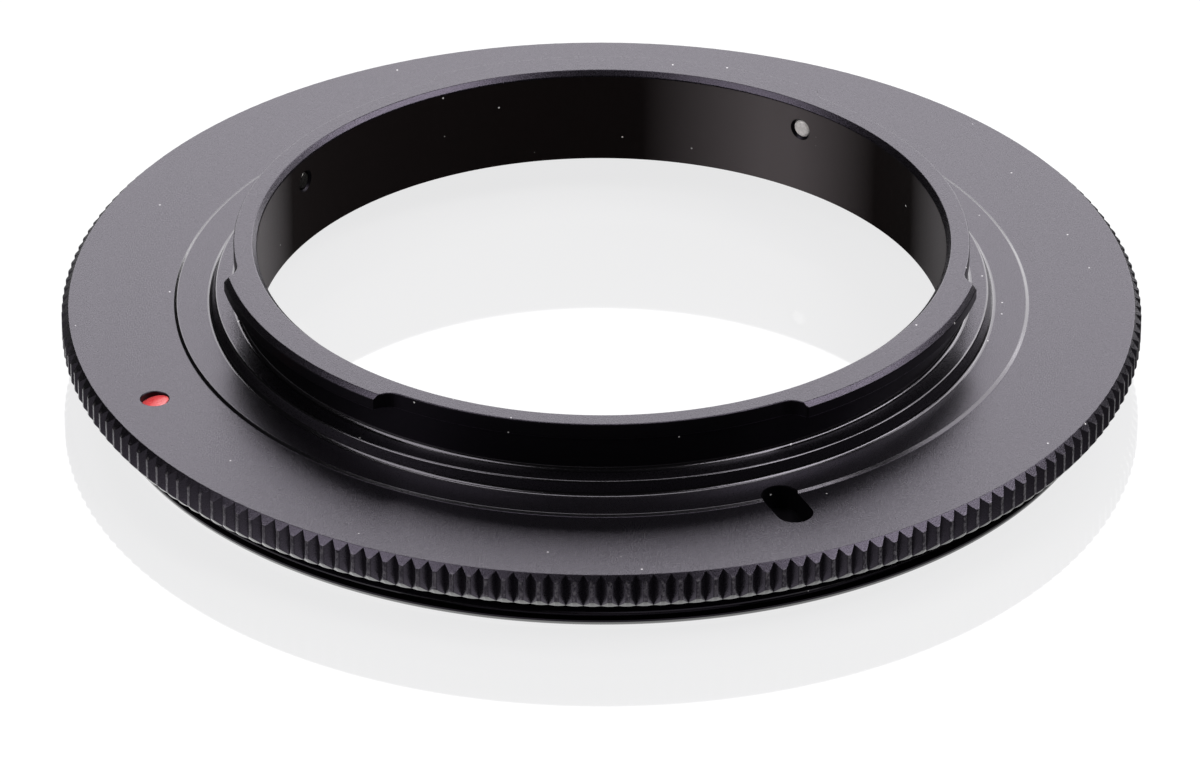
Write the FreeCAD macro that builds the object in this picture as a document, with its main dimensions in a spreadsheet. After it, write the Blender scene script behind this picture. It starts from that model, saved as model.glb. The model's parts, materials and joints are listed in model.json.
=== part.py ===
"""Macro reverse ring: a flat ring with a three-tab lens bayonet on top and a male filter thread below.

Frame: millimetres, +Z up along the ring's axis, origin on the axis at the end face of the thread, which the
ring lies on. Angles run counter-clockwise from +X, seen from the bayonet side.
"""
import FreeCAD, Part
import math
import os

import Sketcher
from FreeCAD import Placement, Rotation, Vector

DIMENSIONS = {
    # Bayonet tube, bore and tabs
    "tab_radius": 23.5,
    "tab_overhang": 1.05,
    "tab_thickness": 1.0,
    "tab_chamfer": 0.3,
    "gap_step": 0.08,
    "gap_corner": 1.3,
    "tube_wall": 1.35,
    "tube_height": 4.15,
    "tube_foot": 0.15,
    "bore_chamfer": 0.3,
    # Boss round the tube and the raised seat
    "boss_width": 1.27,
    "boss_height": 0.95,
    "boss_taper": 0.28,
    "boss_chamfer": 0.1,
    "boss_foot": 0.15,
    "seat_width": 2.06,
    "seat_height": 0.12,
    "seat_slope": 0.2,
    # Male thread, a plain cylinder at its outer radius, and the recess inside it
    "thread_radius": 31.0,
    "thread_wall": 1.8,
    "thread_relief": 0.5,
    "relief_height": 0.45,
    "thread_chamfer": 0.15,
    # Flange and knurled rim
    "flange_top": 4.55,
    "flange_thickness": 2.12,
    "rim_overhang": 2.15,
    "rim_chamfer": 0.43,
    "rim_underchamfer": 0.33,
    "rim_stock": 0.02,
    "groove_count": 200,
    "groove_depth": 0.41,
    "tooth_land": 0.25,
    # Lock slot
    "slot_angle": 294.0,
    "slot_gap": 1.33,
    "slot_length": 4.15,
    "slot_width": 2.2,
    "slot_depth": 1.4,
    # Index dot
    "dot_angle": 205.0,
    "dot_setback": 3.45,
    "dot_radius": 0.85,
    "dot_depth": 0.55,
    "paint_depth": 0.28,
    # Stop pins
    "pin_radius": 0.6,
    "pin_height": 2.3,
    "pin_reach": 0.85,
    "pin_sink": 0.05,
    "pin_bevel": 0.2,
    "pin_mouth": 0.72,
}

# Radii that follow from the tabs, the thread and the widths between them.
DERIVED = {
    "tube_radius": "tab_radius - tab_overhang",
    "bore_radius": "tube_radius - tube_wall",
    "boss_radius": "tube_radius + boss_width",
    "seat_radius": "boss_radius + boss_taper + seat_width",
    "recess_radius": "thread_radius - thread_wall",
    "rim_radius": "thread_radius + rim_overhang",
    "slot_inner": "boss_radius + slot_gap",
    "slot_outer": "slot_inner + slot_length",
    "dot_circle": "rim_radius - dot_setback",
}

# Start and end angle of each milled gap between two tabs.
GAP_ANGLES = {
    "front": (234.8, 301.5),
    "right": (345.8, 414.5),
    "left": (116.5, 192.5),
}
PIN_ANGLES = (53.7, 151.0)

# How far a cutter's outline runs past the faces it cuts.
OVERCUT = 0.5

# Width of each tooth's flats against the pitch, so that neighbouring bevels meet.
TOOTH_OVERLAP = 1.01

doc = FreeCAD.newDocument("reverse_ring")


def make_sheet():
    """Put the driving dimensions and what follows from them into a spreadsheet, one named cell each."""
    table = doc.addObject("Spreadsheet::Sheet", "dims")
    cells = {name: str(value) for name, value in DIMENSIONS.items()}
    cells.update({name: f"={formula}" for name, formula in DERIVED.items()})
    for row, (name, content) in enumerate(cells.items(), start=1):
        table.set(f"A{row}", name)
        table.setAlias(f"B{row}", name)
        table.set(f"B{row}", content)
    doc.recompute()
    return table


sheet = make_sheet()


def size(expression):
    """Value of an expression over the sheet's names."""
    return float(sheet.evalExpression(expression))


def bound(expression):
    """The same expression with each name of the sheet written as a reference from another object."""
    words = []
    for word in expression.split():
        bare = word.strip("()")
        named = bare in DIMENSIONS or bare in DERIVED
        words.append(word.replace(bare, f"dims.{bare}") if named else word)
    return " ".join(words)


def new_body(label):
    body = doc.addObject("PartDesign::Body", label)
    body.Label = label
    return body


def origin_part(body, role):
    return next(item for item in body.Origin.OriginFeatures if item.Role == role)


def new_sketch(body, name, plane="XY_Plane", height="0", angle="0"):
    """Sketch on a plane of the body's origin, lifted along the plane's normal and turned about it."""
    sketch = body.newObject("Sketcher::SketchObject", name)
    sketch.AttachmentSupport = [(origin_part(body, plane), "")]
    sketch.MapMode = "FlatFace"
    sketch.AttachmentOffset = Placement(Vector(0, 0, size(height)), Rotation(Vector(0, 0, 1), size(angle)))
    sketch.setExpression("AttachmentOffset.Base.z", bound(height))
    if angle in DIMENSIONS:
        sketch.setExpression("AttachmentOffset.Rotation.Angle", bound(angle))
    return sketch


def constrain(sketch, kind, *where, by=None):
    """Add a constraint; one with a size takes its value from the sheet."""
    if by is None:
        return sketch.addConstraint(Sketcher.Constraint(kind, *where))
    index = sketch.addConstraint(Sketcher.Constraint(kind, *where, size(by)))
    sketch.setExpression(f"Constraints[{index}]", bound(by))
    return index


def draw_polygon(sketch, corners):
    """Closed outline through corners, each given as two expressions along the sketch's axes."""
    points = [Vector(size(x), size(y), 0) for x, y in corners]
    count = len(points)
    for i in range(count):
        sketch.addGeometry(Part.LineSegment(points[i], points[(i + 1) % count]), False)
    for i in range(count):
        constrain(sketch, "Coincident", i, 2, (i + 1) % count, 1)
    for i, (x, y) in enumerate(corners):
        place_point(sketch, i, x, "DistanceX", -2)
        place_point(sketch, i, y, "DistanceY", -1)


def place_point(sketch, line, expression, kind, axis):
    """Set one coordinate of a line's start point; a zero puts it on the sketch's axis."""
    if expression == "0":
        constrain(sketch, "PointOnObject", line, 1, axis)
    else:
        constrain(sketch, kind, -1, 1, line, 1, by=expression)


def revolve(body, name, sketch):
    feature = body.newObject("PartDesign::Revolution", name)
    feature.Profile = sketch
    feature.ReferenceAxis = (sketch, ["V_Axis"])
    feature.Angle = 360
    return feature


def pocket(body, name, sketch, depth):
    """Cut a sketch straight down and make sure that it removed material."""
    doc.recompute()
    before = body.Shape.Volume
    feature = body.newObject("PartDesign::Pocket", name)
    feature.Profile = sketch
    feature.Length = size(depth)
    feature.setExpression("Length", bound(depth))
    doc.recompute()
    if feature.Shape.Volume >= before:
        raise RuntimeError(f"{name} removed nothing")
    return feature


def ring_section():
    """Corners of the turned section, as radius and height, from the foot of the bore round the outside."""
    under = "flange_top - flange_thickness"
    top = "flange_top + tube_height"
    tab_foot = "flange_top + tube_height - tab_thickness"
    seat = "flange_top + seat_height"
    ledge = "flange_top + boss_height"
    return [
        ("bore_radius", under),
        ("bore_radius", f"{top} - bore_chamfer"),
        ("bore_radius + bore_chamfer", top),
        ("tab_radius - tab_chamfer", top),
        ("tab_radius", f"{top} - tab_chamfer"),
        ("tab_radius", tab_foot),
        ("tube_radius", tab_foot),
        ("tube_radius", f"{ledge} + tube_foot"),
        ("tube_radius + tube_foot", ledge),
        ("boss_radius - boss_chamfer", ledge),
        ("boss_radius", f"{ledge} - boss_chamfer"),
        ("boss_radius + boss_taper", f"{seat} + boss_foot"),
        ("boss_radius + boss_taper + boss_foot", seat),
        ("seat_radius", seat),
        ("seat_radius + seat_slope", "flange_top"),
        ("rim_radius + rim_stock", "flange_top"),
        ("rim_radius + rim_stock", under),
        ("thread_radius - thread_relief", under),
        ("thread_radius - thread_relief", f"{under} - relief_height"),
        ("thread_radius", f"{under} - relief_height - thread_relief"),
        ("thread_radius", "thread_chamfer"),
        ("thread_radius - thread_chamfer", "0"),
        ("recess_radius", "0"),
        ("recess_radius", under),
    ]


def turn_blank(body):
    """The turned ring before any milling."""
    section = new_sketch(body, "section", "XZ_Plane")
    draw_polygon(section, ring_section())
    revolve(body, "blank", section)


def tooth_pitch():
    return 2 * math.pi * size("rim_radius") / size("groove_count")


def draw_groove(sketch):
    """V groove with its root on the sketch's +X axis, as wide as the teeth's lands leave it."""
    rim = size("rim_radius")
    depth = size("groove_depth")
    slope = (tooth_pitch() - size("tooth_land")) / 2 / depth
    root = Vector(rim - depth, 0, 0)
    outer = Vector(rim + OVERCUT, slope * (depth + OVERCUT), 0)
    corners = [root, Vector(outer.x, -outer.y, 0), outer]
    for i in range(3):
        sketch.addGeometry(Part.LineSegment(corners[i], corners[(i + 1) % 3]), False)
    for i in range(3):
        constrain(sketch, "Coincident", i, 2, (i + 1) % 3, 1)
    constrain(sketch, "PointOnObject", 0, 1, -1)
    constrain(sketch, "Symmetric", 1, 1, 1, 2, -1)
    constrain(sketch, "DistanceX", -1, 1, 0, 1, by="rim_radius - groove_depth")


def face_tooth(body):
    """Flat land of one tooth with a bevel above and below, half a pitch away from the groove."""
    sketch = new_sketch(body, "tooth_outline", "XZ_Plane")
    half_pitch = 180 / size("groove_count")
    sketch.AttachmentOffset = Placement(Vector(0, 0, 0), Rotation(Vector(0, 1, 0), half_pitch))
    under = "flange_top - flange_thickness"
    draw_polygon(sketch, [
        ("rim_radius - rim_chamfer - rim_stock", "flange_top + rim_stock"),
        ("rim_radius", "flange_top - rim_chamfer"),
        ("rim_radius", f"{under} + rim_underchamfer"),
        ("rim_radius - rim_underchamfer - rim_stock", f"{under} - rim_stock"),
        ("rim_radius + rim_stock * 2", f"{under} - rim_stock"),
        ("rim_radius + rim_stock * 2", "flange_top + rim_stock"),
    ])
    tooth = body.newObject("PartDesign::Pocket", "tooth")
    tooth.Profile = sketch
    tooth.SideType = "Symmetric"
    tooth.Length = tooth_pitch() * TOOTH_OVERLAP
    return tooth


def cut_knurl(body):
    """Straight knurl: one groove down the whole rim and the tooth beside it, repeated all round."""
    sketch = new_sketch(body, "groove_outline", height="flange_top")
    draw_groove(sketch)
    groove = pocket(body, "groove", sketch, "flange_thickness + rim_stock")
    tooth = face_tooth(body)
    knurl = body.newObject("PartDesign::PolarPattern", "knurl")
    knurl.Originals = [groove, tooth]
    knurl.Axis = (origin_part(body, "Z_Axis"), [""])
    knurl.Angle = 360
    knurl.Occurrences = int(size("groove_count"))
    knurl.setExpression("Occurrences", bound("groove_count"))
    body.Tip = knurl


def polar(radius, angle):
    return Vector(radius * math.cos(angle), radius * math.sin(angle), 0)


def arc_between(centre, radius, start, end):
    return Part.ArcOfCircle(Part.Circle(centre, Vector(0, 0, 1), radius), start, end)


def cut_gap(body, name, start, end):
    """Mill the tab ring away between two angles, down to the tube, with round corners at the tabs' ends."""
    sketch = new_sketch(body, f"{name}_outline", height="flange_top + tube_height")
    inner = size("tube_radius + gap_step")
    outer = size("tab_radius") + OVERCUT
    corner = size("gap_corner")
    start, end = math.radians(start), math.radians(end)
    turn = math.asin(corner / (inner + corner))
    foot = math.sqrt((inner + corner) ** 2 - corner ** 2)
    outer = max(outer, foot + OVERCUT)
    first = polar(inner + corner, start + turn)
    last = polar(inner + corner, end - turn)
    curves = [
        arc_between(Vector(0, 0, 0), inner, start + turn, end - turn),
        arc_between(last, corner, end + math.pi / 2, end - turn + math.pi),
        Part.LineSegment(polar(foot, end), polar(outer, end)),
        arc_between(Vector(0, 0, 0), outer, start, end),
        Part.LineSegment(polar(outer, start), polar(foot, start)),
        arc_between(first, corner, start + turn + math.pi, start + 3 * math.pi / 2),
    ]
    for curve in curves:
        sketch.addGeometry(curve, False)
    constrain(sketch, "Coincident", 0, 3, -1, 1)
    constrain(sketch, "Coincident", 3, 3, -1, 1)
    constrain(sketch, "Tangent", 0, 2, 1, 2)
    constrain(sketch, "Tangent", 1, 1, 2, 1)
    constrain(sketch, "Coincident", 2, 2, 3, 2)
    constrain(sketch, "Coincident", 3, 1, 4, 1)
    constrain(sketch, "Tangent", 4, 2, 5, 2)
    constrain(sketch, "Tangent", 5, 1, 0, 1)
    constrain(sketch, "Radius", 0, by="tube_radius + gap_step")
    constrain(sketch, "Radius", 1, by="gap_corner")
    constrain(sketch, "Equal", 1, 5)
    constrain(sketch, "PointOnObject", -1, 1, 2)
    constrain(sketch, "PointOnObject", -1, 1, 4)
    pocket(body, name, sketch, "tab_thickness")


def cut_slot(body):
    """Blind slot in the flange for the camera's lock pin, with its length along the radius."""
    sketch = new_sketch(body, "slot_outline", height="flange_top + seat_height", angle="slot_angle")
    half = size("slot_width") / 2
    inner = Vector(size("slot_inner") + half, 0, 0)
    outer = Vector(size("slot_outer") - half, 0, 0)
    across = Vector(0, half, 0)
    sketch.addGeometry(arc_between(inner, half, math.pi / 2, 3 * math.pi / 2), False)
    sketch.addGeometry(Part.LineSegment(inner - across, outer - across), False)
    sketch.addGeometry(arc_between(outer, half, -math.pi / 2, math.pi / 2), False)
    sketch.addGeometry(Part.LineSegment(outer + across, inner + across), False)
    constrain(sketch, "Tangent", 0, 2, 1, 1)
    constrain(sketch, "Tangent", 1, 2, 2, 1)
    constrain(sketch, "Tangent", 2, 2, 3, 1)
    constrain(sketch, "Tangent", 3, 2, 0, 1)
    constrain(sketch, "PointOnObject", 0, 3, -1)
    constrain(sketch, "PointOnObject", 2, 3, -1)
    constrain(sketch, "Radius", 0, by="slot_width / 2")
    constrain(sketch, "DistanceX", -1, 1, 0, 3, by="slot_inner + slot_width / 2")
    constrain(sketch, "DistanceX", -1, 1, 2, 3, by="slot_outer - slot_width / 2")
    pocket(body, "lock_slot", sketch, "slot_depth + seat_height")


def draw_dot(sketch):
    """Circle of the index dot on the sketch's +X axis."""
    centre = Vector(size("dot_circle"), 0, 0)
    sketch.addGeometry(Part.Circle(centre, Vector(0, 0, 1), size("dot_radius")), False)
    constrain(sketch, "PointOnObject", 0, 3, -1)
    constrain(sketch, "Radius", 0, by="dot_radius")
    constrain(sketch, "DistanceX", -1, 1, 0, 3, by="dot_circle")


def drill_dimple(body):
    sketch = new_sketch(body, "dimple_outline", height="flange_top + seat_height", angle="dot_angle")
    draw_dot(sketch)
    pocket(body, "dimple", sketch, "dot_depth + seat_height")


def radial_placement(radius, height, angle):
    """Placement whose Z axis points outward along a radius."""
    turn = Rotation(Vector(0, 0, 1), angle)
    lay = Rotation(Vector(0, 1, 0), 90)
    return Placement(turn.multVec(Vector(radius, 0, 0)) + Vector(0, 0, height), turn.multiply(lay))


def drill_pin_hole(body, number, angle):
    """Radial hole through the tube's wall with a countersunk mouth in the bore."""
    height = size("flange_top + pin_height")
    hole = body.newObject("PartDesign::SubtractiveCylinder", f"pin_hole_{number}")
    hole.Placement = radial_placement(size("bore_radius") - OVERCUT, height, angle)
    hole.Radius = size("pin_radius")
    hole.setExpression("Radius", bound("pin_radius"))
    hole.Height = size("tube_radius - bore_radius") + 2 * OVERCUT
    mouth = body.newObject("PartDesign::SubtractiveCone", f"pin_mouth_{number}")
    flare = size("pin_mouth - pin_radius")
    mouth.Placement = radial_placement(size("bore_radius") - OVERCUT, height, angle)
    mouth.Radius1 = size("pin_mouth") + OVERCUT
    mouth.Radius2 = size("pin_radius")
    mouth.Height = OVERCUT + flare


def make_ring():
    body = new_body("mount_ring")
    turn_blank(body)
    for name, (start, end) in GAP_ANGLES.items():
        cut_gap(body, f"gap_{name}", start, end)
    cut_slot(body)
    drill_dimple(body)
    for number, angle in enumerate(PIN_ANGLES, start=1):
        drill_pin_hole(body, number, angle)
    cut_knurl(body)
    return body


def make_index_dot():
    """Red paint lying on the floor of the dimple."""
    body = new_body("index_dot")
    sketch = new_sketch(body, "paint_outline", height="flange_top - dot_depth", angle="dot_angle")
    draw_dot(sketch)
    paint = body.newObject("PartDesign::Pad", "paint")
    paint.Profile = sketch
    paint.Length = size("dot_depth - paint_depth")
    paint.setExpression("Length", bound("dot_depth - paint_depth"))
    return body


def make_pin(number, angle):
    """Pin with bevelled ends, standing out of the tube's wall into the groove under the tabs."""
    body = new_body(f"stop_pin_{number}")
    sketch = new_sketch(body, f"pin_section_{number}", "XZ_Plane")
    length = "tube_radius - bore_radius - pin_sink + pin_reach"
    draw_polygon(sketch, [
        ("0", "0"),
        ("pin_radius - pin_bevel", "0"),
        ("pin_radius", "pin_bevel"),
        ("pin_radius", f"{length} - pin_bevel"),
        ("pin_radius - pin_bevel", length),
        ("0", length),
    ])
    revolve(body, f"pin_{number}", sketch)
    body.Placement = radial_placement(size("bore_radius + pin_sink"), size("flange_top + pin_height"), angle)
    return body


def make_stop_pins():
    group = doc.addObject("Part::Compound", "stop_pins")
    group.Label = "stop_pins"
    group.Links = [make_pin(number, angle) for number, angle in enumerate(PIN_ANGLES, start=1)]
    return group


def write_parts(nodes):
    """Check every object and every shape, then write one file a node."""
    doc.recompute()
    for item in doc.Objects:
        if "Invalid" in item.State or "Error" in item.State:
            raise RuntimeError(f"{item.Name} failed: {item.State}")
    for node in nodes:
        if node.Shape.isNull() or not node.Shape.isValid():
            raise RuntimeError(f"{node.Label} has no valid shape")
    os.makedirs("parts", exist_ok=True)
    for node in nodes:
        node.Shape.exportStep(f"parts/{node.Label}.step")
        print(node.Label, "solids", len(node.Shape.Solids), "volume", round(node.Shape.Volume, 3))


write_parts([make_ring(), make_index_dot(), make_stop_pins()])
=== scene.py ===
"""Looks of the macro reverse ring: a finely rounded, knurled and threaded ring, its index dot and pins.

Sizes below are in millimetres in the part's own frame: +Z along the axis, origin at the end face of the
thread. Only the floor, the lights and the camera are in metres.
"""
import json
import math

import bmesh
import bpy
from mathutils import Matrix, Vector

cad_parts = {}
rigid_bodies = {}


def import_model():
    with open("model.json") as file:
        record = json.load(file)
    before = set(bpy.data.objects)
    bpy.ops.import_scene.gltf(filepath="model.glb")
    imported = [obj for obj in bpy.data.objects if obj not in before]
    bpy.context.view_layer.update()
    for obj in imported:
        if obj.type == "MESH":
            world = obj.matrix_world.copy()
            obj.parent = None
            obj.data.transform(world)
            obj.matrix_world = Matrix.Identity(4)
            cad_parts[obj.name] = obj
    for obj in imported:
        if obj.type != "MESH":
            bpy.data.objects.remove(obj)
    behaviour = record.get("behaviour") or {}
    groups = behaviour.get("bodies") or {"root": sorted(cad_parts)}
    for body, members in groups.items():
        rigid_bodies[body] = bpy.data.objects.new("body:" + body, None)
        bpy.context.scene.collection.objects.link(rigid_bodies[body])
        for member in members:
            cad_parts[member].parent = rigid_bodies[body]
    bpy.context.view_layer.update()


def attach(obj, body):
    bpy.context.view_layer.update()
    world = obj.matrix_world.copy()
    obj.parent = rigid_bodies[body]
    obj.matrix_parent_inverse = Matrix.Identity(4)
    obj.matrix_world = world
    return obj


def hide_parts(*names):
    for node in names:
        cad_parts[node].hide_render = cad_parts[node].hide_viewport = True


MM = 0.001

# Turned section
BORE_R = 21.1
BORE_CHAMFER = 0.3
TOP_Z = 8.7
TAB_R = 23.5
TAB_CHAMFER = 0.3
TAB_FOOT_Z = 7.7
TUBE_R = 22.45
GAP_R = 22.53
GAP_CORNER = 1.3
LEDGE_Z = 5.5
BOSS_R = 23.72
BOSS_FOOT_R = 24.0
SEAT_R = 26.06
SEAT_SLOPE = 0.2
SEAT_Z = 4.67
FLANGE_Z = 4.55
UNDER_Z = 2.43
RIM_R = 33.15
RIM_CHAMFER = 0.43
RIM_UNDERCHAMFER = 0.33
UNDERCHAMFER_STEEP = 1.4
RELIEF_R = 30.5
RELIEF_Z = 1.98
RECESS_R = 29.2

# Rounds and eased edges of the turned section, and the steps of a small and a large round
EDGE_ROUND = 0.1
BORE_ROUND = 0.15
GAP_BEVEL = 0.06
TAB_FOOT_ROUND = 0.06
TUBE_FOOT_ROUND = 0.3
BOSS_ROUND = 0.16
BOSS_FOOT_ROUND = 0.28
RIM_ROUND = 0.08
END_INNER_ROUND = 0.05
RECESS_ROUND = 0.2
SMALL_STEPS = 2
LARGE_STEPS = 4
ROUND_SHARE = 0.49

# Knurl
TEETH = 200
GROOVE_DEPTH = 0.41
TOOTH_LAND = 0.25
LAND_EASE = 0.035
WORN_DEPTH = 0.02

# Male thread
THREAD_PITCH = 0.75
THREAD_CREST_R = 31.12
THREAD_DEPTH = 0.4
THREAD_ROWS = 16
RIDGE_LEVEL = 1.25
RIDGE_SLOPE = 3.2
END_COLLAR = 0.42
COLLAR_RUN = 0.1
END_ROUND = 0.3
END_STEPS = 6

# Tab gaps, lock slot, index dot and stop pins. Angles are in degrees, counter-clockwise from +X.
GAPS = ((234.8, 301.5), (345.8, 414.5), (116.5, 192.5))
SLOT_ANGLE = 294.0
SLOT_INNER = 25.05
SLOT_OUTER = 29.2
SLOT_WIDTH = 2.2
SLOT_DEPTH = 1.4
SLOT_EASE = 0.04
SLOT_END_STEPS = 24
DOT_ANGLE = 205.0
DOT_CIRCLE = 29.7
DOT_R = 0.85
DOT_DEPTH = 0.55
DOT_EASE = 0.05
DOT_SEGMENTS = 48
PAINT_DEPTH = 0.25
PAINT_TILT = 0.27
PAINT_LOW_SIDE = 165.0
PAINT_GAP = 0.01
PAINT_LIP = 0.08
PAINT_LIP_DROP = 0.03
PAINT_HOLLOW = 0.07
PAINT_HOLLOW_STEPS = (0.8, 0.6, 0.4, 0.2)
PAINT_FOOT = 0.1
PAINT_SEGMENTS = 40
PIN_ANGLES = (53.7, 151.0)
PIN_R = 0.6
PIN_Z = FLANGE_Z + 2.3
PIN_REACH = 0.85
PIN_SINK = 0.05
PIN_MOUTH = 0.72
PIN_BEVEL = 0.25
PIN_BEVEL_STEPS = 6
PIN_SEGMENTS = 40
CUTTER_RISE = 1.0
CUTTER_OVERRUN = 0.5

# Widest turn between two faces that shade as one, in degrees
RING_SMOOTH = 38
DOT_SMOOTH = 50
PIN_SMOOTH = 40

# Colours, texture scales in cells to a metre, and ramps as (from low, from high, to low, to high)
BLACK = (0.002, 0.0018, 0.0022)
BORE_BLACK = (0.005, 0.0026, 0.0024)
DEEP_DYE = 0.8
FADED_DYE = 1.25
LILAC = (0.87, 0.76, 1.0, 1)
PALE_LILAC = (0.95, 0.89, 1.0, 1)
WHITE = (1, 1, 1, 1)
BORE_TINT = (1.0, 0.9, 0.93, 1)
BORE_STRETCH = 0.5
BORE_STRETCH_TURN = 0.25
FILM_IOR = 1.65
EDGE_IOR = 2.4
GRAIN_SCALE = 15000
GRAIN_LOW = 0.25
GRAIN_HIGH = 0.75
GRAIN_ROUGH = 0.06
PATCH_SCALE = 90
WEAR_SCALE = 5500
WEAR_COLOUR = (0.1, 0.094, 0.1, 1)
WEAR_LANDS = (0.6, 1.0, 0, 1)
WEAR_SPOTS = (0.4, 0.65, 0, 1)
DUST_SCALE = 900
DUST_SIZE = 0.07
DUST_CORE = 0.6
DUST_SHARE = 0.2
DUST_COLOUR = (0.85, 0.83, 0.83, 1)
PAINT_SCALE = 2500
PAINT_REDS = ((0.9, 0.06, 0.065, 1), (0.98, 0.13, 0.14, 1))
PAINT_ROUGH = (0.3, 0.7, 0.22, 0.4)
PAINT_BUMP = 0.05
STEEL_SCALE = 4000
STEEL_ROUGH = (0.3, 0.7, 0.2, 0.36)
# Painted light on two pins of one steel: the right pin painted whitish as lit, the left pin painted dark as
# in shade
PIN_STEEL_PAINTED_LIT = ((0.92, 0.86, 0.84, 1), (1.0, 0.96, 0.95, 1))
PIN_STEEL_PAINTED_SHADE = ((0.015, 0.015, 0.016, 1), (0.3, 0.29, 0.28, 1))
# Painted reflection in the bore: a paler streak between these angles, where the bore mirrors the lamp at
# the left front
PAINTED_BORE_REFLECTION = (0.13, 0.113, 0.117, 1)
PAINTED_BORE_REFLECTION_ANGLES = (36, 55, 61, 83)
# Painted reflection in the bore: paler colour at its left and right sides, where the bore mirrors the
# bright backdrop
PAINTED_BORE_SIDE_SHEEN = (0.15, 0.14, 0.145, 1)
PAINTED_BORE_SIDE_SHEEN_FROM = 19.2
PAINTED_BORE_SIDE_SHEEN_FULL = 20.9
BODY_FINISH = 0
BORE_FINISH = 1
EDGE_FINISH = 2
DULL_FINISH = 3
ROUND_FINISH = 4
SMOOTH_ROUND = 0.155

# Floor, in metres and levels. Painted light: as the ring mirrors it, the floor glows brightest under the
# rim and brighter at the left, by ramps over the distance from the axis and over X.
FLOOR_HALF = 3
FLOOR_WHITE = (0.8, 0.8, 0.8, 1)
FLOOR_SHADE = (0.08, 0.08, 0.08, 1)
FLOOR_GLOSS = (0.07, 0.07, 0.07, 1)
FLOOR_ROUGH = 0.04
FLOOR_GLOW = (0.78, 0.78, 0.785, 1)
MIRRORED_INSIDE = (0.0245, 0.028, 0.04, 1.0)
MIRRORED_OUTSIDE = (0.034, 0.0375, 1.0, 0.2)
MIRRORED_ACROSS = (-0.035, 0.035, 1.5, 0.6)

# Softboxes: name, place, size in metres, and radiance
SOFTBOXES = (
    ("backdrop", (0.13, 1.11, 0.405), (1.42, 0.85), 2.82),
    ("top_back", (0, 0.25, 1.0), (0.9, 0.27), 3.1),
    ("top_left", (-0.72, -0.4, 1.0), (0.75, 0.6), 2.9),
    ("top_right", (0.68, -0.19, 0.97), (0.62, 0.55), 5.4),
    ("right_side", (0.93, 0.18, 0.74), (0.42, 0.3), 5.6),
    ("right_back", (0.6, 0.6, 0.62), (0.42, 0.55), 2.6),
    ("left_front", (-0.87, -0.42, 0.52), (0.5, 0.42), 2.6),
)
ROOM = (0.012, 0.012, 0.012, 1)

# Camera, in metres, degrees and millimetres of focal length
CAMERA_PLACE = (0, -0.4933, 0.2884)
CAMERA_TILT = 59.49
CAMERA_ROLL = 0.11
CAMERA_LENS = 277.9
CAMERA_SENSOR = 36
CAMERA_SHIFT = -0.0011
CAMERA_CLIP = 0.01


def clear_scene():
    for item in list(bpy.data.objects):
        bpy.data.objects.remove(item, do_unlink=True)


def new_piece(name, mesh, materials):
    piece = bpy.data.objects.new(name, mesh)
    bpy.context.scene.collection.objects.link(piece)
    for material in materials:
        mesh.materials.append(material)
    return piece


def fillet(before, corner, after, radius, steps):
    """Points of a round that replaces one corner of an outline in the r, z plane.

    It takes up at most ROUND_SHARE of either side of the corner.
    """
    before, corner, after = Vector(before), Vector(corner), Vector(after)
    if radius <= 0:
        return [corner]
    back, ahead = before - corner, after - corner
    opening = back.angle(ahead)
    longest = ROUND_SHARE * min(back.length, ahead.length)
    reach = min(radius / math.tan(opening / 2), longest)
    radius = reach * math.tan(opening / 2)
    middle = (back.normalized() + ahead.normalized()).normalized()
    centre = corner + middle * (radius / math.sin(opening / 2))
    start = corner + back.normalized() * reach - centre
    end = corner + ahead.normalized() * reach - centre
    sweep = start.angle(end)
    points = []
    for i in range(steps + 1):
        t = i / steps
        spoke = start * math.sin((1 - t) * sweep) + end * math.sin(t * sweep)
        points.append(centre + spoke / math.sin(sweep))
    return points


def tab_radius(angle):
    """Outer radius of the tab ring at an angle: tab, gap, or the round corner between them."""
    for start, end in GAPS:
        turn = (angle - start) % 360
        span = end - start
        if turn > span:
            continue
        corner_turn = math.degrees(math.asin(GAP_CORNER / (GAP_R + GAP_CORNER)))
        off = min(turn, span - turn)
        if off >= corner_turn:
            return GAP_R
        lean = math.radians(corner_turn - off)
        middle = GAP_R + GAP_CORNER
        inside = GAP_CORNER ** 2 - (middle * math.sin(lean)) ** 2
        return min(TAB_R, middle * math.cos(lean) - math.sqrt(max(inside, 0)))
    return TAB_R


def column_angles():
    """Angles of the mesh's columns: five to a tooth, on its root and both sides of its two eased edges."""
    pitch = 360 / TEETH
    land = math.degrees(TOOTH_LAND / RIM_R)
    ease = math.degrees(LAND_EASE / RIM_R)
    edge = (pitch - land) / 2
    for tooth in range(TEETH):
        for offset in (0, edge - ease, edge + ease, edge + land - ease, edge + land + ease):
            yield tooth * pitch + offset


def tooth_radius(angle):
    """Radius of the knurled wall at an angle."""
    pitch = 360 / TEETH
    land = math.degrees(TOOTH_LAND / RIM_R)
    edge = (pitch - land) / 2
    turn = angle % pitch
    off = min(turn, pitch - turn)
    return RIM_R - GROOVE_DEPTH * max(0, 1 - off / edge)


def thread_radius(angle, height):
    """Radius of the helical thread, from a plain collar at its end to the undercut it runs out into.

    A ridge falls from RIDGE_LEVEL in its middle by RIDGE_SLOPE to a pitch, and is cut level at 1 and 0.
    """
    phase = (height / THREAD_PITCH - angle / 360) % 1
    ridge = min(1, max(0, RIDGE_LEVEL - abs(phase - 0.5) * RIDGE_SLOPE))
    start = min(1, (height - END_COLLAR) / COLLAR_RUN)
    return min(THREAD_CREST_R - THREAD_DEPTH * (1 - ridge) * start, RELIEF_R + RELIEF_Z - height)


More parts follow.
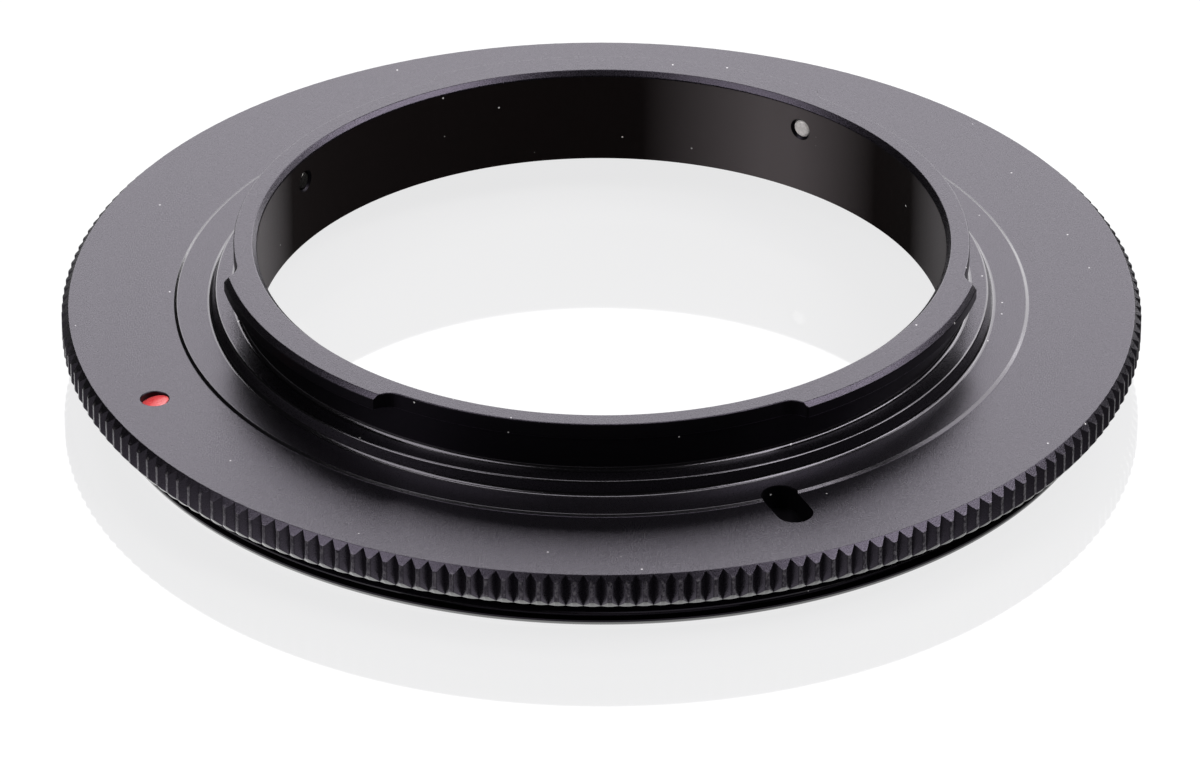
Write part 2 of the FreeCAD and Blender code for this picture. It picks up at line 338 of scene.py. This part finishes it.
def section(angle):
    """Outline of the ring at one angle as (radius, height, finish).

    It runs from the foot of the bore over the tabs and the flange, round the rim and back under the thread.
    """
    tab = tab_radius(angle)
    tab_bevel = max(GAP_BEVEL, tab - TAB_R + TAB_CHAMFER)
    tooth = tooth_radius(angle)
    rim_edge = RIM_R - RIM_CHAMFER
    under_edge = min(tooth, RIM_R - RIM_UNDERCHAMFER)
    # Each corner: radius, height, its round, the steps of that round, and the finish of the face after it
    corners = [
        (BORE_R, UNDER_Z, EDGE_ROUND, SMALL_STEPS, BORE_FINISH),
        (BORE_R, TOP_Z - BORE_CHAMFER, BORE_ROUND, SMALL_STEPS, BODY_FINISH),
        (BORE_R + BORE_CHAMFER, TOP_Z, EDGE_ROUND, SMALL_STEPS, BODY_FINISH),
        (tab - tab_bevel, TOP_Z, EDGE_ROUND, SMALL_STEPS, BODY_FINISH),
        (tab, TOP_Z - tab_bevel, EDGE_ROUND, SMALL_STEPS, DULL_FINISH),
        (tab, TAB_FOOT_Z, TAB_FOOT_ROUND, SMALL_STEPS, BODY_FINISH),
        (TUBE_R, TAB_FOOT_Z, 0, 1, DULL_FINISH),
        (TUBE_R, LEDGE_Z, TUBE_FOOT_ROUND, LARGE_STEPS, BODY_FINISH),
        (BOSS_R, LEDGE_Z, BOSS_ROUND, LARGE_STEPS, BODY_FINISH),
        (BOSS_FOOT_R, SEAT_Z, BOSS_FOOT_ROUND, LARGE_STEPS, BODY_FINISH),
        (SEAT_R, SEAT_Z, EDGE_ROUND, SMALL_STEPS, ROUND_FINISH),
        (SEAT_R + SEAT_SLOPE, FLANGE_Z, EDGE_ROUND, SMALL_STEPS, BODY_FINISH),
        (rim_edge, FLANGE_Z, RIM_ROUND, SMALL_STEPS, BODY_FINISH),
        (tooth, FLANGE_Z - tooth + rim_edge, 0, 1, BODY_FINISH),
        (tooth, UNDER_Z + (tooth - under_edge) * UNDERCHAMFER_STEEP, 0, 1, EDGE_FINISH),
        (under_edge, UNDER_Z, 0, 1, BODY_FINISH),
        (RELIEF_R, UNDER_Z, 0, 1, BODY_FINISH),
    ]
    for row in range(THREAD_ROWS + 1):
        height = RELIEF_Z + (END_COLLAR - RELIEF_Z) * row / THREAD_ROWS
        corners.append((thread_radius(angle, height), height, 0, 1, DULL_FINISH))
    for step in range(END_STEPS + 1):
        turn = math.radians(90 * step / END_STEPS)
        inward = END_ROUND * (1 - math.cos(turn))
        finish = EDGE_FINISH if step < END_STEPS else BODY_FINISH
        corners.append((THREAD_CREST_R - inward, END_ROUND * (1 - math.sin(turn)), 0, 1, finish))
    corners += [
        (RECESS_R, 0, END_INNER_ROUND, SMALL_STEPS, BODY_FINISH),
        (RECESS_R, UNDER_Z, RECESS_ROUND, SMALL_STEPS, BODY_FINISH),
    ]
    outline = []
    for i, (r, z, radius, steps, finish) in enumerate(corners):
        before = corners[i - 1][:2]
        after = corners[(i + 1) % len(corners)][:2]
        points = fillet(before, (r, z), after, radius, steps)
        round_finish = ROUND_FINISH if radius > SMOOTH_ROUND else finish
        outline += [(p.x, p.y, round_finish) for p in points[:-1]]
        outline.append((points[-1].x, points[-1].y, finish))
    return outline


def ring_mesh():
    angles = list(column_angles())
    columns = [section(angle) for angle in angles]
    rows = len(columns[0])
    verts = []
    for angle, column in zip(angles, columns):
        c, s = math.cos(math.radians(angle)), math.sin(math.radians(angle))
        verts += [(r * c * MM, r * s * MM, z * MM) for r, z, _ in column]
    faces = []
    finishes = []
    count = len(angles)
    for i in range(count):
        j = (i + 1) % count
        for k in range(rows):
            n = (k + 1) % rows
            faces.append((i * rows + k, j * rows + k, j * rows + n, i * rows + n))
            finishes.append(columns[0][k][2])
    mesh = bpy.data.meshes.new("mount_ring_detail")
    mesh.from_pydata(verts, [], faces)
    mesh.polygons.foreach_set("material_index", finishes)
    wear = mesh.attributes.new("wear", "FLOAT", "POINT")
    worn_from = (RIM_R - WORN_DEPTH) * MM
    wear.data.foreach_set("value", [float(math.hypot(x, y) > worn_from) for x, y, _ in verts])
    return mesh


def lathe(outline, segments, place):
    """Closed solid turned about Z from (radius, height) points that start and end on the axis."""
    bm = bmesh.new()
    rings = []
    for r, z in outline:
        if r == 0:
            rings.append([bm.verts.new((0, 0, z * MM))])
            continue
        ring = []
        for i in range(segments):
            turn = 2 * math.pi * i / segments
            ring.append(bm.verts.new((r * math.cos(turn) * MM, r * math.sin(turn) * MM, z * MM)))
        rings.append(ring)
    for low, high in zip(rings, rings[1:]):
        for i in range(segments):
            j = (i + 1) % segments
            corners = [low[i % len(low)], low[j % len(low)], high[j % len(high)], high[i % len(high)]]
            bm.faces.new(list(dict.fromkeys(corners)))
    bmesh.ops.recalc_face_normals(bm, faces=bm.faces)
    bm.transform(place)
    mesh = bpy.data.meshes.new("turned")
    bm.to_mesh(mesh)
    bm.free()
    return mesh


def at_angle(radius, height, angle):
    """Frame on the ring at an angle, with X pointing outward."""
    turn = Matrix.Rotation(math.radians(angle), 4, "Z")
    return turn @ Matrix.Translation((radius * MM, 0, height * MM))


def slot_mesh():
    """Cutter for the lock slot, a long hole with round ends and an eased mouth."""
    bm = bmesh.new()
    levels = ((FLANGE_Z - SLOT_DEPTH, 0), (FLANGE_Z - SLOT_EASE, 0), (SEAT_Z + SLOT_EASE, SLOT_EASE * 2))
    rings = []
    for z, flare in levels:
        half = SLOT_WIDTH / 2
        ring = []
        for centre, start in ((SLOT_OUTER - half, -90), (SLOT_INNER + half, 90)):
            for i in range(SLOT_END_STEPS + 1):
                turn = math.radians(start + 180 * i / SLOT_END_STEPS)
                x = centre + (half + flare) * math.cos(turn)
                y = (half + flare) * math.sin(turn)
                ring.append(bm.verts.new((x * MM, y * MM, z * MM)))
        rings.append(ring)
    for low, high in zip(rings, rings[1:]):
        for i in range(len(low)):
            j = (i + 1) % len(low)
            bm.faces.new((low[i], low[j], high[j], high[i]))
    bm.faces.new(list(reversed(rings[0])))
    bm.faces.new(rings[-1])
    bm.transform(Matrix.Rotation(math.radians(SLOT_ANGLE), 4, "Z"))
    mesh = bpy.data.meshes.new("slot_cutter")
    bm.to_mesh(mesh)
    bm.free()
    return mesh


def cutters():
    """Meshes of what is milled and drilled out of the turned ring."""
    yield slot_mesh()
    dot = at_angle(DOT_CIRCLE, FLANGE_Z, DOT_ANGLE)
    rim = DOT_R + DOT_EASE
    dimple = [(0, -DOT_DEPTH), (DOT_R, -DOT_DEPTH), (DOT_R, -DOT_EASE)]
    dimple += [(rim, 0), (rim, CUTTER_RISE), (0, CUTTER_RISE)]
    yield lathe(dimple, DOT_SEGMENTS, dot)
    wall = TUBE_R - BORE_R
    flare = PIN_MOUTH - PIN_R
    inner, outer = -CUTTER_OVERRUN, wall + CUTTER_OVERRUN
    hole = [(0, inner), (PIN_MOUTH - inner, inner), (PIN_R, flare), (PIN_R, outer), (0, outer)]
    lay = Matrix.Rotation(math.radians(90), 4, "Y")
    for angle in PIN_ANGLES:
        yield lathe(hole, PIN_SEGMENTS, at_angle(BORE_R, PIN_Z, angle) @ lay)


def cut(piece, mesh):
    """Take a cutter's volume out of a piece."""
    mesh.polygons.foreach_set("material_index", [DULL_FINISH] * len(mesh.polygons))
    cutter = bpy.data.objects.new("cutter", mesh)
    bpy.context.scene.collection.objects.link(cutter)
    modifier = piece.modifiers.new("cut", "BOOLEAN")
    modifier.operation = "DIFFERENCE"
    modifier.solver = "EXACT"
    modifier.object = cutter
    depsgraph = bpy.context.evaluated_depsgraph_get()
    result = bpy.data.meshes.new_from_object(piece.evaluated_get(depsgraph))
    piece.modifiers.remove(modifier)
    old = piece.data
    piece.data = result
    bpy.data.meshes.remove(old)
    bpy.data.objects.remove(cutter, do_unlink=True)


def smooth(piece, degrees):
    """Smooth shading in which a large face stays flat and the small faces beside it take up the turn."""
    mesh = piece.data
    mesh.shade_smooth()
    limit = math.cos(math.radians(degrees))
    faces_at = [[] for _ in mesh.vertices]
    normals = [face.normal.copy() for face in mesh.polygons]
    weights = [face.area ** 2 for face in mesh.polygons]
    for face in mesh.polygons:
        for vertex in face.vertices:
            faces_at[vertex].append(face.index)
    corners = [None] * len(mesh.loops)
    for face in mesh.polygons:
        own = normals[face.index]
        for loop, vertex in zip(face.loop_indices, face.vertices):
            total = Vector()
            for other in faces_at[vertex]:
                if own.dot(normals[other]) >= limit:
                    total += normals[other] * weights[other]
            corners[loop] = total.normalized() if total.length > 0 else own
    mesh.normals_split_custom_set(corners)


def node(tree, kind, **values):
    """Shader node with its sockets and settings filled in."""
    item = tree.nodes.new(kind)
    for key, value in values.items():
        if key in item.inputs:
            item.inputs[key].default_value = value
        else:
            setattr(item, key, value)
    return item


def new_material(name):
    material = bpy.data.materials.new(name)
    material.use_nodes = True
    tree = material.node_tree
    tree.nodes.clear()
    shader = tree.nodes.new("ShaderNodeBsdfPrincipled")
    output = tree.nodes.new("ShaderNodeOutputMaterial")
    tree.links.new(shader.outputs["BSDF"], output.inputs["Surface"])
    return material, tree, shader


def ramp(tree, source, low, high, to_low, to_high):
    item = node(tree, "ShaderNodeMapRange")
    item.inputs["From Min"].default_value = low
    item.inputs["From Max"].default_value = high
    item.inputs["To Min"].default_value = to_low
    item.inputs["To Max"].default_value = to_high
    tree.links.new(source, item.inputs["Value"])
    return item.outputs["Result"]


def mix_colour(tree, factor, a, b):
    item = node(tree, "ShaderNodeMix", data_type="RGBA")
    tree.links.new(factor, item.inputs["Factor"])
    for name, value in (("A", a), ("B", b)):
        socket = next(s for s in item.inputs if s.name == name and s.type == "RGBA")
        if isinstance(value, tuple):
            socket.default_value = value
        else:
            tree.links.new(value, socket)
    return next(s for s in item.outputs if s.type == "RGBA")


def noise(tree, coords, scale, detail):
    item = node(tree, "ShaderNodeTexNoise", Scale=scale, Detail=detail)
    tree.links.new(coords, item.inputs["Vector"])
    return item.outputs["Fac"]


def dust_mask(tree, coords, scale, size, share):
    """Small round specks: a dot in the middle of some of the cells of a cell pattern."""
    cells = node(tree, "ShaderNodeTexVoronoi", Scale=scale, Randomness=1.0)
    tree.links.new(coords, cells.inputs["Vector"])
    dot = ramp(tree, cells.outputs["Distance"], size, size * DUST_CORE, 0, 1)
    split = tree.nodes.new("ShaderNodeSeparateColor")
    tree.links.new(cells.outputs["Color"], split.inputs["Color"])
    pick = node(tree, "ShaderNodeMath", operation="LESS_THAN")
    tree.links.new(split.outputs["Red"], pick.inputs[0])
    pick.inputs[1].default_value = share
    both = node(tree, "ShaderNodeMath", operation="MULTIPLY")
    tree.links.new(dot, both.inputs[0])
    tree.links.new(pick.outputs["Value"], both.inputs[1])
    return both.outputs["Value"]


def anodised(name, black, specular, rough, grain_depth, tint=LILAC):
    """Satin black anodised aluminium: fine blasted grain, slight unevenness, dust and worn knurl lands."""
    material, tree, shader = new_material(name)
    links = tree.links
    coords = tree.nodes.new("ShaderNodeTexCoord").outputs["Object"]
    grain = noise(tree, coords, GRAIN_SCALE, detail=2)
    patches = noise(tree, coords, PATCH_SCALE, detail=3)
    deep = tuple(c * DEEP_DYE for c in black) + (1,)
    faded = tuple(c * FADED_DYE for c in black) + (1,)
    tone = mix_colour(tree, patches, deep, faded)
    worn = node(tree, "ShaderNodeMath", operation="MULTIPLY")
    lands = node(tree, "ShaderNodeAttribute", attribute_name="wear")
    links.new(ramp(tree, lands.outputs["Fac"], *WEAR_LANDS), worn.inputs[0])
    spots = noise(tree, coords, WEAR_SCALE, detail=3)
    links.new(ramp(tree, spots, *WEAR_SPOTS), worn.inputs[1])
    tone = mix_colour(tree, worn.outputs["Value"], tone, WEAR_COLOUR)
    dust = dust_mask(tree, coords, DUST_SCALE, DUST_SIZE, DUST_SHARE)
    tone = mix_colour(tree, dust, tone, DUST_COLOUR)
    links.new(tone, shader.inputs["Base Color"])
    gloss = ramp(tree, grain, GRAIN_LOW, GRAIN_HIGH, rough - GRAIN_ROUGH, rough + GRAIN_ROUGH)
    links.new(gloss, shader.inputs["Roughness"])
    bump = node(tree, "ShaderNodeBump", Strength=1.0, Distance=grain_depth * MM)
    links.new(grain, bump.inputs["Height"])
    links.new(bump.outputs["Normal"], shader.inputs["Normal"])
    shader.inputs["IOR"].default_value = FILM_IOR
    shader.inputs["Specular IOR Level"].default_value = specular
    shader.inputs["Specular Tint"].default_value = tint
    return material


def cut_edge(name, black):
    """Smooth cut chamfers: a dark film that mirrors strongly."""
    material = anodised(name, black, specular=0.5, rough=0.14, grain_depth=0.001, tint=WHITE)
    shader = next(n for n in material.node_tree.nodes if n.type == "BSDF_PRINCIPLED")
    shader.inputs["IOR"].default_value = EDGE_IOR
    return material


def turned_bore(name, black):
    """The bore's finish: lathe marks that draw highlights out along the axis, and painted reflections: a
    paler streak at some angles and paler left and right sides.
    """
    material = anodised(name, black, specular=0.25, rough=0.38, grain_depth=0.002, tint=BORE_TINT)
    tree = material.node_tree
    shader = next(n for n in tree.nodes if n.type == "BSDF_PRINCIPLED")
    round_axis = node(tree, "ShaderNodeTangent", direction_type="RADIAL", axis="Z")
    tree.links.new(round_axis.outputs["Tangent"], shader.inputs["Tangent"])
    shader.inputs["Anisotropic"].default_value = BORE_STRETCH
    shader.inputs["Anisotropic Rotation"].default_value = BORE_STRETCH_TURN
    split = tree.nodes.new("ShaderNodeSeparateXYZ")
    tree.links.new(tree.nodes.new("ShaderNodeTexCoord").outputs["Object"], split.inputs["Vector"])
    angle = node(tree, "ShaderNodeMath", operation="ARCTAN2")
    tree.links.new(split.outputs["Y"], angle.inputs[0])
    tree.links.new(split.outputs["X"], angle.inputs[1])
    # Painted reflection: a paler streak over a band of angles round the axis, in place of a lamp's
    # highlight
    pale = node(tree, "ShaderNodeMath", operation="MULTIPLY")
    start, full, fade, end = (math.radians(a) for a in PAINTED_BORE_REFLECTION_ANGLES)
    tree.links.new(ramp(tree, angle.outputs["Value"], start, full, 0, 1), pale.inputs[0])
    tree.links.new(ramp(tree, angle.outputs["Value"], fade, end, 1, 0), pale.inputs[1])
    # Painted reflection: the bore turns paler towards its left and right sides
    sideways = node(tree, "ShaderNodeMath", operation="ABSOLUTE")
    tree.links.new(split.outputs["X"], sideways.inputs[0])
    sides = ramp(tree, sideways.outputs["Value"], PAINTED_BORE_SIDE_SHEEN_FROM * MM, PAINTED_BORE_SIDE_SHEEN_FULL * MM, 0, 1)
    tone = shader.inputs["Base Color"].links[0].from_socket
    tone = mix_colour(tree, pale.outputs["Value"], tone, PAINTED_BORE_REFLECTION)
    tree.links.new(mix_colour(tree, sides, tone, PAINTED_BORE_SIDE_SHEEN), shader.inputs["Base Color"])
    return material


def red_paint():
    material, tree, shader = new_material("red_enamel")
    coords = tree.nodes.new("ShaderNodeTexCoord").outputs["Object"]
    patches = noise(tree, coords, PAINT_SCALE, detail=3)
    tone = mix_colour(tree, patches, *PAINT_REDS)
    tree.links.new(tone, shader.inputs["Base Color"])
    tree.links.new(ramp(tree, patches, *PAINT_ROUGH), shader.inputs["Roughness"])
    bump = node(tree, "ShaderNodeBump", Strength=0.5, Distance=PAINT_BUMP * MM)
    tree.links.new(patches, bump.inputs["Height"])
    tree.links.new(bump.outputs["Normal"], shader.inputs["Normal"])
    return material


def pin_steel(name, colours, metallic):
    material, tree, shader = new_material(name)
    coords = tree.nodes.new("ShaderNodeTexCoord").outputs["Object"]
    marks = noise(tree, coords, STEEL_SCALE, detail=4)
    tree.links.new(mix_colour(tree, marks, *colours), shader.inputs["Base Color"])
    tree.links.new(ramp(tree, marks, *STEEL_ROUGH), shader.inputs["Roughness"])
    shader.inputs["Metallic"].default_value = metallic
    return material


def make_ring(finishes):
    piece = new_piece("mount_ring_detail", ring_mesh(), finishes)
    for mesh in cutters():
        cut(piece, mesh)
    smooth(piece, RING_SMOOTH)
    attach(piece, "root")
    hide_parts("mount_ring")


def make_dot(paint):
    """Paint in the dimple with a hollow, slightly raised edge."""
    top = DOT_DEPTH - PAINT_DEPTH
    edge = DOT_R - PAINT_GAP
    outline = [(0, 0), (edge, 0), (edge, top), (DOT_R - PAINT_LIP, top - PAINT_LIP_DROP)]
    outline += [(DOT_R * t, top - PAINT_HOLLOW * (1 - t * t)) for t in PAINT_HOLLOW_STEPS]
    outline.append((0, top - PAINT_HOLLOW))
    place = at_angle(DOT_CIRCLE, FLANGE_Z - DOT_DEPTH, DOT_ANGLE)
    mesh = lathe(outline, PAINT_SEGMENTS, place)
    low_angle = math.radians(PAINT_LOW_SIDE)
    low_side = Vector((math.cos(low_angle), math.sin(low_angle), 0))
    for vertex in mesh.vertices:
        if vertex.co.z > place.translation.z + PAINT_FOOT * top * MM:
            vertex.co.z -= PAINT_TILT * (vertex.co - place.translation).dot(low_side)
    piece = new_piece("index_dot_paint", mesh, [paint])
    smooth(piece, DOT_SMOOTH)
    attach(piece, "root")
    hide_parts("index_dot")


def make_pins(finishes):
    """Two turned pins with rounded ends, in one piece as in the part. Each pin takes its own copy of one
    steel as painted light: the right pin painted lit, the left pin painted in shade.
    """
    length = TUBE_R - BORE_R - PIN_SINK + PIN_REACH
    turns = [math.radians(90 * i / PIN_BEVEL_STEPS) for i in range(PIN_BEVEL_STEPS + 1)]
    flat = PIN_R - PIN_BEVEL
    low = [(flat + PIN_BEVEL * math.sin(a), PIN_BEVEL - PIN_BEVEL * math.cos(a)) for a in turns]
    high = [(r, length - z) for r, z in reversed(low)]
    outline = [(0, 0)] + low + high + [(0, length)]
    lay = Matrix.Rotation(math.radians(90), 4, "Y")
    bm = bmesh.new()
    for finish, angle in enumerate(PIN_ANGLES):
        mesh = lathe(outline, PIN_SEGMENTS, at_angle(BORE_R + PIN_SINK, PIN_Z, angle) @ lay)
        mesh.polygons.foreach_set("material_index", [finish] * len(mesh.polygons))
        bm.from_mesh(mesh)
        bpy.data.meshes.remove(mesh)
    joined = bpy.data.meshes.new("stop_pins_turned")
    bm.to_mesh(joined)
    bm.free()
    piece = new_piece("stop_pins_turned", joined, finishes)
    smooth(piece, PIN_SMOOTH)
    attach(piece, "root")
    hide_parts("stop_pins")


def make_floor():
    """White, slightly glossy table with a soft shadow. The ring's reflections see a painted glow of their
    own, brightest under the rim and brighter at the left.
    """
    bm = bmesh.new()
    bmesh.ops.create_grid(bm, x_segments=1, y_segments=1, size=FLOOR_HALF)
    mesh = bpy.data.meshes.new("floor")
    bm.to_mesh(mesh)
    bm.free()
    material = bpy.data.materials.new("floor_white")
    material.use_nodes = True
    tree = material.node_tree
    tree.nodes.clear()
    links = tree.links
    rays = tree.nodes.new("ShaderNodeLightPath")
    plain = node(tree, "ShaderNodeBsdfDiffuse", Color=FLOOR_WHITE)
    shade = node(tree, "ShaderNodeBsdfDiffuse", Color=FLOOR_SHADE)
    gloss = node(tree, "ShaderNodeBsdfGlossy", Color=FLOOR_GLOSS, Roughness=FLOOR_ROUGH)
    glow = node(tree, "ShaderNodeEmission", Color=FLOOR_GLOW, Strength=1.0)
    sheen = tree.nodes.new("ShaderNodeAddShader")
    links.new(shade.outputs["BSDF"], sheen.inputs[0])
    links.new(gloss.outputs["BSDF"], sheen.inputs[1])
    pale = tree.nodes.new("ShaderNodeAddShader")
    links.new(sheen.outputs["Shader"], pale.inputs[0])
    links.new(glow.outputs["Emission"], pale.inputs[1])
    # Painted light seen only in reflections: a glow brightest under the rim and brighter at the left
    white = node(tree, "ShaderNodeEmission", Color=WHITE)
    coords = tree.nodes.new("ShaderNodeTexCoord").outputs["Object"]
    reach = node(tree, "ShaderNodeVectorMath", operation="LENGTH")
    links.new(coords, reach.inputs[0])
    inside = ramp(tree, reach.outputs["Value"], *MIRRORED_INSIDE)
    outside = ramp(tree, reach.outputs["Value"], *MIRRORED_OUTSIDE)
    under_rim = node(tree, "ShaderNodeMath", operation="MINIMUM")
    links.new(inside, under_rim.inputs[0])
    links.new(outside, under_rim.inputs[1])
    split = tree.nodes.new("ShaderNodeSeparateXYZ")
    links.new(coords, split.inputs["Vector"])
    across = ramp(tree, split.outputs["X"], *MIRRORED_ACROSS)
    level = node(tree, "ShaderNodeMath", operation="MULTIPLY")
    links.new(under_rim.outputs["Value"], level.inputs[0])
    links.new(across, level.inputs[1])
    links.new(level.outputs["Value"], white.inputs["Strength"])
    mirrored = tree.nodes.new("ShaderNodeMixShader")
    links.new(rays.outputs["Is Glossy Ray"], mirrored.inputs["Fac"])
    links.new(plain.outputs["BSDF"], mirrored.inputs[1])
    links.new(white.outputs["Emission"], mirrored.inputs[2])
    pick = tree.nodes.new("ShaderNodeMixShader")
    links.new(rays.outputs["Is Camera Ray"], pick.inputs["Fac"])
    links.new(mirrored.outputs["Shader"], pick.inputs[1])
    links.new(pale.outputs["Shader"], pick.inputs[2])
    output = tree.nodes.new("ShaderNodeOutputMaterial")
    links.new(pick.outputs["Shader"], output.inputs["Surface"])
    new_piece("floor", mesh, [material])


def softbox(name, place, size, radiance):
    """Area lamp that looks at the ring and shines with a given radiance."""
    lamp = bpy.data.lights.new(name, "AREA")
    lamp.shape = "RECTANGLE"
    lamp.size, lamp.size_y = size
    lamp.energy = radiance * math.pi * size[0] * size[1]
    holder = bpy.data.objects.new(name, lamp)
    bpy.context.scene.collection.objects.link(holder)
    holder.location = place
    holder.rotation_euler = (-Vector(place)).to_track_quat("-Z", "Y").to_euler()
    holder.visible_camera = False


def make_light():
    for name, place, size, radiance in SOFTBOXES:
        softbox(name, place, size, radiance)
    world = bpy.data.worlds.new("studio")
    bpy.context.scene.world = world
    world.use_nodes = True
    tree = world.node_tree
    tree.nodes.clear()
    rays = tree.nodes.new("ShaderNodeLightPath")
    room = node(tree, "ShaderNodeBackground", Color=ROOM, Strength=1.0)
    white = node(tree, "ShaderNodeBackground", Color=WHITE, Strength=1.0)
    pick = tree.nodes.new("ShaderNodeMixShader")
    tree.links.new(rays.outputs["Is Camera Ray"], pick.inputs["Fac"])
    tree.links.new(room.outputs["Background"], pick.inputs[1])
    tree.links.new(white.outputs["Background"], pick.inputs[2])
    output = tree.nodes.new("ShaderNodeOutputWorld")
    tree.links.new(pick.outputs["Shader"], output.inputs["Surface"])


def make_camera():
    data = bpy.data.cameras.new("photo_camera")
    data.sensor_width = CAMERA_SENSOR
    data.lens = CAMERA_LENS
    data.shift_x = CAMERA_SHIFT
    data.clip_start = CAMERA_CLIP
    camera = bpy.data.objects.new("photo_camera", data)
    bpy.context.scene.collection.objects.link(camera)
    camera.location = CAMERA_PLACE
    tilt = Matrix.Rotation(math.radians(CAMERA_TILT), 3, "X")
    roll = Matrix.Rotation(math.radians(CAMERA_ROLL), 3, "Z")
    camera.rotation_euler = (tilt @ roll).to_euler()
    bpy.context.scene.camera = camera


clear_scene()
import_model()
bpy.context.scene.view_settings.view_transform = "Standard"
satin = anodised("black_anodised_satin", BLACK, specular=0.5, rough=0.29, grain_depth=0.009)
bore = turned_bore("black_anodised_bore", BORE_BLACK)
edge = cut_edge("black_anodised_edge", BLACK)
dull = anodised("black_anodised_dull", BLACK, specular=0.15, rough=0.35, grain_depth=0.004)
rounds = anodised("black_anodised_round", BLACK, specular=0.72, rough=0.16, grain_depth=0.003,
                  tint=PALE_LILAC)
make_ring([satin, bore, edge, dull, rounds])
make_dot(red_paint())
# Lit and shaded copies of one pin steel, as painted light: the right pin bright, the left pin dark
bright = pin_steel("pin_steel_painted_lit", PIN_STEEL_PAINTED_LIT, metallic=0.1)
dark = pin_steel("pin_steel_painted_shade", PIN_STEEL_PAINTED_SHADE, metallic=1.0)
make_pins([bright, dark])
make_floor()
make_light()
make_camera()
